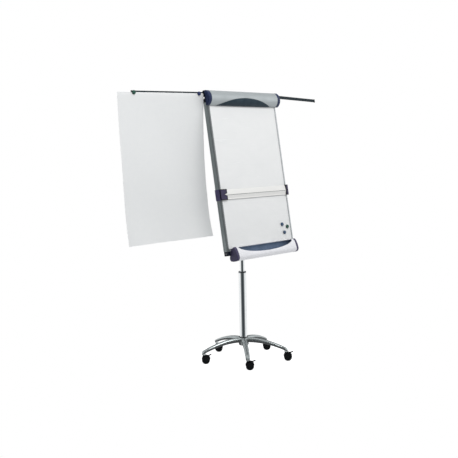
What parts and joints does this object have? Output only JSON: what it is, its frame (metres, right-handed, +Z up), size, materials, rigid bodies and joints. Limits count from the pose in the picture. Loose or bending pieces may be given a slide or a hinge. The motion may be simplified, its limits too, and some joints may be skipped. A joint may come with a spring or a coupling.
{
  "type": "mobile flipchart easel",
  "caption": "Leaning magnetic flipchart board with a hinged pad clamp, pen tray, sliding ruler and swing arms on a telescopic column and a five-arm castor base.",
  "frame": {"origin": "on the floor, under the middle of the bounding box", "axes": "+Z up, +X to the right seen from the front, the board faces -Y and leans back"},
  "size_m": [2.0125, 0.6485, 1.9103],
  "materials": {
    "silver_paint": "silver powder coat on extruded aluminium and folded plate",
    "anodised": "satin grey anodised extrusion",
    "enamel": "white enamel on steel sheet, smooth and slightly glossy",
    "backing": "light grey foam and fibre core with a grey skin",
    "chrome": "bright chromed steel tube",
    "cast_aluminium": "silver painted die-cast aluminium",
    "navy": "moulded navy plastic, fine texture",
    "purple": "moulded purple-navy plastic",
    "dark_panel": "glossy dark blue-grey inlay",
    "tray_blue": "moulded blue-grey liner",
    "black": "black nylon",
    "black_steel": "black powder-coated flat steel",
    "white_plastic": "white plastic",
    "bronze_plastic": "brown-grey moulded plastic",
    "magnet_blue": "blue plastic magnet cap",
    "magnet_green": "dark green plastic magnet cap",
    "paper": "white flipchart paper, matt",
    "steel": "zinc-plated steel"
  },
  "bodies": {
    "base": {"star_base": "cast_aluminium", "outer_tube": "chrome", "lock_collet": "white_plastic"},
    "collar": {"lock_collar": "black"},
    "lift": {"inner_tube": "chrome", "guide_bush": "white_plastic", "tilt_head": "cast_aluminium"},
    "castor_1": {"castor_hood_1": "black"},
    "wheels_1": {"castor_wheels_1": "black"},
    "brake_1": {"castor_brake_1": "black"},
    "castor_2": {"castor_hood_2": "black"},
    "wheels_2": {"castor_wheels_2": "black"},
    "brake_2": {"castor_brake_2": "black"},
    "castor_3": {"castor_hood_3": "black"},
    "wheels_3": {"castor_wheels_3": "black"},
    "castor_4": {"castor_hood_4": "black"},
    "wheels_4": {"castor_wheels_4": "black"},
    "castor_5": {"castor_hood_5": "black"},
    "wheels_5": {"castor_wheels_5": "black"},
    "brake_5": {"castor_brake_5": "black"},
    "board": {"board_face": "enamel", "board_core": "backing", "side_profile_left": "anodised", "side_profile_right": "anodised", "back_rail_lower": "anodised", "back_rail_upper": "anodised", "bottom_rail": "anodised", "tilt_yoke": "silver_paint", "tilt_pin": "steel", "corner_bottom_left": "navy", "corner_bottom_right": "navy", "corner_top_left": "navy", "corner_top_right": "navy", "top_rail": "anodised", "tray_shell": "silver_paint", "tray_liner": "tray_blue", "tray_cap_left": "purple", "tray_cap_right": "purple"},
    "knob": {"tilt_knob": "black"},
    "clamp": {"clamp_bar": "silver_paint", "clamp_panel": "dark_panel", "clamp_cap_left": "navy", "clamp_cap_right": "navy"},
    "hook_left": {"pad_hook_left": "bronze_plastic"},
    "hook_right": {"pad_hook_right": "bronze_plastic"},
    "ruler": {"ruler_bar": "white_plastic", "ruler_slider_left": "purple", "ruler_slider_right": "purple"},
    "left_arm": {"arm_knuckle_left": "navy", "arm_left": "black_steel", "arm_plug_left": "black", "paper_sheet": "paper"},
    "right_arm": {"arm_knuckle_right": "navy", "arm_right": "black_steel", "arm_plug_right": "black"},
    "magnet_1": {"magnet_board_1": "magnet_blue"},
    "magnet_2": {"magnet_board_2": "magnet_green"},
    "magnet_3": {"magnet_board_3": "magnet_blue"},
    "magnet_4": {"magnet_arm_1": "magnet_blue"},
    "magnet_5": {"magnet_arm_2": "magnet_green"}
  },
  "joints": [
    {"name": "castor_1_swivel", "type": "hinge", "parent": "base", "child": "castor_1", "pos_m": [-0.15257, -0.23475, 0], "axis": [0, 0, 1], "continuous": true},
    {"name": "castor_1_roll", "type": "hinge", "parent": "castor_1", "child": "wheels_1", "pos_m": [-0.14301, -0.24498, 0.0285], "axis": [0.7302, 0.6833, 0], "continuous": true},
    {"name": "castor_1_brake", "type": "hinge", "parent": "castor_1", "child": "brake_1", "pos_m": [-0.1331, -0.25556, 0.059], "axis": [0.7302, 0.6833, 0], "range_deg": [0, 14]},
    {"name": "castor_2_swivel", "type": "hinge", "parent": "base", "child": "castor_2", "pos_m": [0.20703, -0.277, 0], "axis": [0, 0, 1], "continuous": true},
    {"name": "castor_2_roll", "type": "hinge", "parent": "castor_2", "child": "wheels_2", "pos_m": [0.2166, -0.28722, 0.0285], "axis": [0.7302, 0.6833, 0], "continuous": true},
    {"name": "castor_2_brake", "type": "hinge", "parent": "castor_2", "child": "brake_2", "pos_m": [0.2265, -0.29781, 0.059], "axis": [0.7302, 0.6833, 0], "range_deg": [0, 14]},
    {"name": "castor_3_swivel", "type": "hinge", "parent": "base", "child": "castor_3", "pos_m": [0.35833, 0.05195, 0], "axis": [0, 0, 1], "continuous": true},
    {"name": "castor_3_roll", "type": "hinge", "parent": "castor_3", "child": "wheels_3", "pos_m": [0.3679, 0.04173, 0.0285], "axis": [0.7302, 0.6833, 0], "continuous": true},
    {"name": "castor_4_swivel", "type": "hinge", "parent": "base", "child": "castor_4", "pos_m": [0.09223, 0.2975, 0], "axis": [0, 0, 1], "continuous": true},
    {"name": "castor_4_roll", "type": "hinge", "parent": "castor_4", "child": "wheels_4", "pos_m": [0.1018, 0.28727, 0.0285], "axis": [0.7302, 0.6833, 0], "continuous": true},
    {"name": "castor_5_swivel", "type": "hinge", "parent": "base", "child": "castor_5", "pos_m": [-0.22352, 0.1203, 0], "axis": [0, 0, 1], "continuous": true},
    {"name": "castor_5_roll", "type": "hinge", "parent": "castor_5", "child": "wheels_5", "pos_m": [-0.21395, 0.11008, 0.0285], "axis": [0.7302, 0.6833, 0], "continuous": true},
    {"name": "castor_5_brake", "type": "hinge", "parent": "castor_5", "child": "brake_5", "pos_m": [-0.20405, 0.09949, 0.059], "axis": [0.7302, 0.6833, 0], "range_deg": [0, 14]},
    {"name": "collar_twist", "type": "hinge", "parent": "base", "child": "collar", "pos_m": [0.0563, -0.0084, 0.6335], "axis": [0, 0, 1], "range_deg": [0, 90]},
    {"name": "height_slide", "type": "slide", "parent": "base", "child": "lift", "axis": [0, 0, 1], "range_m": [-0.32, 0.04]},
    {"name": "board_tilt", "type": "hinge", "parent": "lift", "child": "board", "pos_m": [0.0563, -0.0084, 1.368], "axis": [-1, 0, 0], "range_deg": [-9, 21]},
    {"name": "tilt_knob_turn", "type": "hinge", "parent": "board", "child": "knob", "pos_m": [0.0863, -0.0084, 1.368], "axis": [1, 0, 0], "range_deg": [-90, 90]},
    {"name": "clamp_open", "type": "hinge", "parent": "board", "child": "clamp", "pos_m": [0.0563, -0.04214, 1.8978], "axis": [-1, 0, 0], "range_deg": [0, 35]},
    {"name": "hook_left_slide", "type": "slide", "parent": "board", "child": "hook_left", "axis": [1, 0, 0], "range_m": [-0.05, 0.06]},
    {"name": "hook_right_slide", "type": "slide", "parent": "board", "child": "hook_right", "axis": [1, 0, 0], "range_m": [-0.05, 0.06]},
    {"name": "ruler_slide", "type": "slide", "parent": "board", "child": "ruler", "axis": [0, 0.1564, 0.9877], "range_m": [-0.18, 0.55]},
    {"name": "arm_left_swing", "type": "hinge", "parent": "board", "child": "left_arm", "pos_m": [-0.2957, -0.01919, 1.88607], "axis": [0, -0.1564, -0.9877], "range_deg": [-22, 18]},
    {"name": "arm_right_swing", "type": "hinge", "parent": "board", "child": "right_arm", "pos_m": [0.4083, -0.01919, 1.88607], "axis": [0, 0.1564, 0.9877], "range_deg": [-24, 150]},
    {"name": "magnet_1_pull", "type": "slide", "parent": "board", "child": "magnet_1", "axis": [0, -0.9877, 0.1564], "range_m": [0, 0.03]},
    {"name": "magnet_2_pull", "type": "slide", "parent": "board", "child": "magnet_2", "axis": [0, -0.9877, 0.1564], "range_m": [0, 0.03]},
    {"name": "magnet_3_pull", "type": "slide", "parent": "board", "child": "magnet_3", "axis": [0, -0.9877, 0.1564], "range_m": [0, 0.03]},
    {"name": "magnet_4_pull", "type": "slide", "parent": "left_arm", "child": "magnet_4", "axis": [-0.0785, -0.9846, 0.156], "range_m": [0, 0.03]},
    {"name": "magnet_5_pull", "type": "slide", "parent": "left_arm", "child": "magnet_5", "axis": [-0.0785, -0.9846, 0.156], "range_m": [0, 0.03]}
  ]
}
